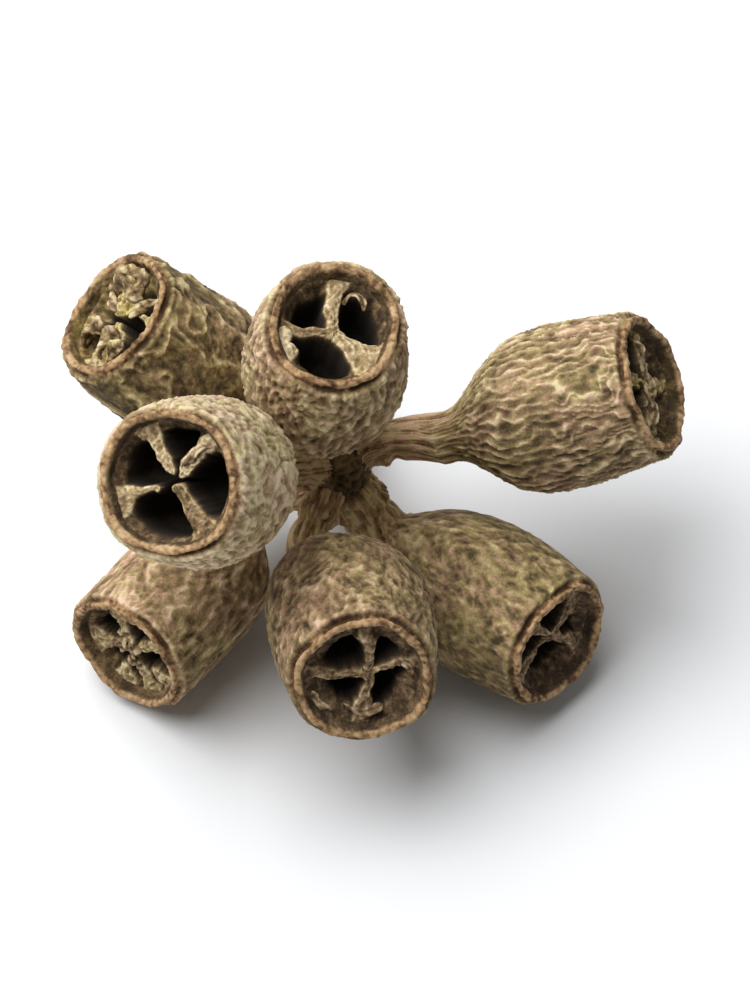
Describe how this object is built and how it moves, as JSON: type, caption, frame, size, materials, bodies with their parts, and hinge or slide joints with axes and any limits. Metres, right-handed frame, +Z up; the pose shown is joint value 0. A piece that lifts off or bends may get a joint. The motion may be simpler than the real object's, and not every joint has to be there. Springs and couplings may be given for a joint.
{
  "type": "gum nut cluster",
  "caption": "Cluster of dried, open gum nuts on short stalks that meet on one broken stem, lying on its side.",
  "frame": {"origin": "on the ground under the middle of the bounding box", "axes": "+Z up from the ground it lies on, +X along its longest side, -Y the side that most mouths face"},
  "size_m": [0.041, 0.0342, 0.0293],
  "materials": {
    "husk": "dry, wrinkled olive-brown husk",
    "stalk": "dry, ridged dark brown twig"
  },
  "bodies": {
    "root": {"stalk": "stalk", "nut_upper_left": "husk", "nut_top": "husk", "nut_left": "husk", "nut_lower_left": "husk", "nut_front": "husk", "nut_lower_right": "husk", "nut_right": "husk"}
  },
  "joints": []
}
